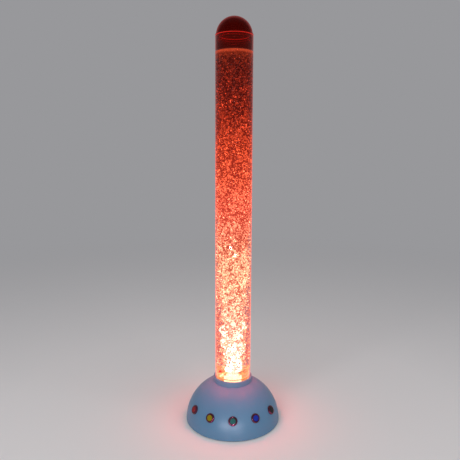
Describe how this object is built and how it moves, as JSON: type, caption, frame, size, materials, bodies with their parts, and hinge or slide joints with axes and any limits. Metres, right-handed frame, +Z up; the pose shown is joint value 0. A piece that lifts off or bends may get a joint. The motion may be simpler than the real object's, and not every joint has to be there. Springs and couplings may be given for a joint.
{
  "type": "led bubble tube",
  "caption": "Floor-standing bubble tube lamp: a clear water-filled tube with a domed top on a half-round base, with coloured push buttons across its front.",
  "frame": {"origin": "on the floor under the tube's centre, at the bottom centre of the whole object", "axes": "+Z up along the tube, -Y towards the front where the middle button is, +X to the right seen from the front"},
  "size_m": [0.266, 0.266, 1.1078],
  "materials": {
    "shell_satin": "satin pale blue-grey",
    "clear_acrylic": "polished clear",
    "lit_water": "clear, lit red and orange from below",
    "white_plastic": "moulded",
    "red_plastic": "moulded",
    "clear_silicone": "soft, translucent",
    "black_rubber": "matt",
    "lead_jacket": "matt jacket",
    "plate_paint": "powder coat",
    "black_plastic": "moulded",
    "capacitor_can": "sleeved can",
    "bright_steel": "zinc plated",
    "brass": "turned",
    "bezel_chrome": "polished",
    "sink_aluminium": "extruded",
    "board_white": "white solder mask",
    "led_light": "lit",
    "board_green": "green solder mask",
    "pump_grey": "moulded",
    "core_iron": "stacked sheet",
    "coil_copper": "enamelled wire",
    "magnet_metal": "nickel plated",
    "cap_red": "polished",
    "cap_yellow": "polished",
    "cap_green": "polished",
    "cap_blue": "polished",
    "cap_black": "polished"
  },
  "bodies": {
    "base": {"air_hoses": "clear_silicone", "air_inlet": "brass", "base_plate": "plate_paint", "base_plate_screws": "bright_steel", "base_shell": "shell_satin", "black_button_spring": "bright_steel", "blue_button_spring": "bright_steel", "board_capacitors": "capacitor_can", "board_chips": "black_plastic", "board_headers": "white_plastic", "board_leads": "lead_jacket", "board_standoffs": "brass", "bubble_nozzle": "white_plastic", "button_bezels": "bezel_chrome", "button_leads": "lead_jacket", "button_nuts": "bright_steel", "button_switches": "black_plastic", "check_valve": "white_plastic", "collar_nut": "black_plastic", "control_board": "board_green", "drain_plug": "red_plastic", "feet": "black_rubber", "gallery_screw": "clear_acrylic", "green_button_spring": "bright_steel", "heat_sink": "sink_aluminium", "lamp_posts": "brass", "led_board": "board_white", "led_emitters": "led_light", "led_lenses": "clear_acrylic", "m3_screws": "bright_steel", "plug_seals": "clear_silicone", "power_jack": "black_plastic", "power_jack_nut": "bright_steel", "power_jack_pin": "brass", "pump_arm_pin": "bright_steel", "pump_case": "pump_grey", "pump_coil": "coil_copper", "pump_core": "core_iron", "pump_diaphragm": "black_rubber", "pump_head": "pump_grey", "pump_lid": "pump_grey", "pump_mounts": "black_rubber", "red_button_spring": "bright_steel", "tube": "clear_acrylic", "tube_collar": "shell_satin", "tube_gasket": "black_rubber", "tube_plug": "clear_acrylic", "water_column": "lit_water", "yellow_button_spring": "bright_steel"},
    "top_dome": {"top_dome": "clear_acrylic", "dome_spigot": "clear_acrylic", "dome_seal": "clear_silicone"},
    "pump_arm": {"pump_arm": "black_plastic", "pump_magnet": "magnet_metal"},
    "red_button": {"red_button_cap": "cap_red"},
    "yellow_button": {"yellow_button_cap": "cap_yellow"},
    "green_button": {"green_button_cap": "cap_green"},
    "blue_button": {"blue_button_cap": "cap_blue"},
    "black_button": {"black_button_cap": "cap_black"}
  },
  "joints": [
    {"name": "dome_lift", "type": "slide", "parent": "base", "child": "top_dome", "axis": [0, 0, 1], "range_m": [0, 0.06]},
    {"name": "pump_arm_swing", "type": "hinge", "parent": "base", "child": "pump_arm", "pos_m": [-0.053, 0.07217, 0.022], "axis": [0, 0, 1], "range_deg": [-1.5, 1.5], "stiffness_Nm_per_rad": 1, "deforming": ["pump_diaphragm"]},
    {"name": "red_button_press", "type": "slide", "parent": "base", "child": "red_button", "axis": [0.7774, 0.4488, -0.4407], "range_m": [0, 0.002], "stiffness_N_per_m": 400, "springref_m": -0.002, "deforming": ["red_button_spring"]},
    {"name": "yellow_button_press", "type": "slide", "parent": "base", "child": "yellow_button", "axis": [0.4488, 0.7774, -0.4407], "range_m": [0, 0.002], "stiffness_N_per_m": 400, "springref_m": -0.002, "deforming": ["yellow_button_spring"]},
    {"name": "green_button_press", "type": "slide", "parent": "base", "child": "green_button", "axis": [0, 0.8977, -0.4407], "range_m": [0, 0.002], "stiffness_N_per_m": 400, "springref_m": -0.002, "deforming": ["green_button_spring"]},
    {"name": "blue_button_press", "type": "slide", "parent": "base", "child": "blue_button", "axis": [-0.4488, 0.7774, -0.4407], "range_m": [0, 0.002], "stiffness_N_per_m": 400, "springref_m": -0.002, "deforming": ["blue_button_spring"]},
    {"name": "black_button_press", "type": "slide", "parent": "base", "child": "black_button", "axis": [-0.7774, 0.4488, -0.4407], "range_m": [0, 0.002], "stiffness_N_per_m": 400, "springref_m": -0.002, "deforming": ["black_button_spring"]}
  ]
}
